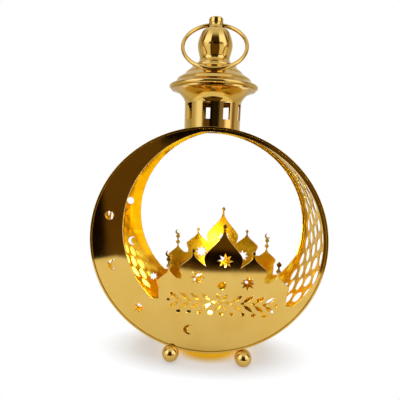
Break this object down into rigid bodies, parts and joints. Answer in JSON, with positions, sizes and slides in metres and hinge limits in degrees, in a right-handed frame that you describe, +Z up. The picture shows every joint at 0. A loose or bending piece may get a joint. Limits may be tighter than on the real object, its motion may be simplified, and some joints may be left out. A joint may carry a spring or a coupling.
{
  "type": "ramadan fanous lantern",
  "caption": "Gold moon-shaped fanous lantern: a pierced drum with a mosque skyline, a windowed turret with a carry ring, ball feet and a battery lamp.",
  "frame": {"origin": "on the table under the middle of the drum", "axes": "+Z up through the turret, -Y out of the front plate, +X to the right as seen from the front"},
  "size_m": [0.14, 0.0548, 0.2076],
  "materials": {
    "gold_sheet": "mirror-polished gold plating on sheet",
    "gold_turned": "mirror-polished gold plating on spun and cast pieces",
    "gold_wire": "polished gold-plated wire",
    "plated_steel": "bright nickel plating",
    "case_plastic": "matt gold-coloured moulding",
    "cell_jacket": "plain dark shrink jacket",
    "board": "pale solder mask",
    "lamp_lens": "warm clear moulded lens"
  },
  "bodies": {
    "lantern": {"ring_band": "gold_sheet", "front_plate": "gold_sheet", "back_plate": "gold_sheet", "collar": "gold_turned", "cap": "gold_turned", "finial": "gold_turned", "tie_screw": "plated_steel", "tie_washer": "plated_steel", "front_left_foot": "gold_turned", "front_right_foot": "gold_turned", "rear_left_foot": "gold_turned", "rear_right_foot": "gold_turned", "battery_case": "case_plastic", "front_cell": "cell_jacket", "rear_cell": "cell_jacket", "link_contact": "plated_steel", "terminal_contacts": "plated_steel", "switch_body": "case_plastic", "lamp_board": "board", "low_lamp": "lamp_lens", "high_lamp": "lamp_lens", "case_screws": "plated_steel"},
    "carry_ring": {"carry_ring": "gold_wire"},
    "battery_cover": {"battery_cover": "case_plastic"},
    "switch_slider": {"switch_slider": "case_plastic"}
  },
  "joints": [
    {"name": "ring_swing", "type": "hinge", "parent": "lantern", "child": "carry_ring", "pos_m": [0, 0, 0.20401], "axis": [-1, 0, 0], "range_deg": [0, 286.1]},
    {"name": "cover_slide", "type": "slide", "parent": "lantern", "child": "battery_cover", "axis": [1, 0, 0], "range_m": [0, 0.015]},
    {"name": "switch_slide", "type": "slide", "parent": "lantern", "child": "switch_slider", "axis": [1, 0, 0], "range_m": [0, 0.003]}
  ]
}
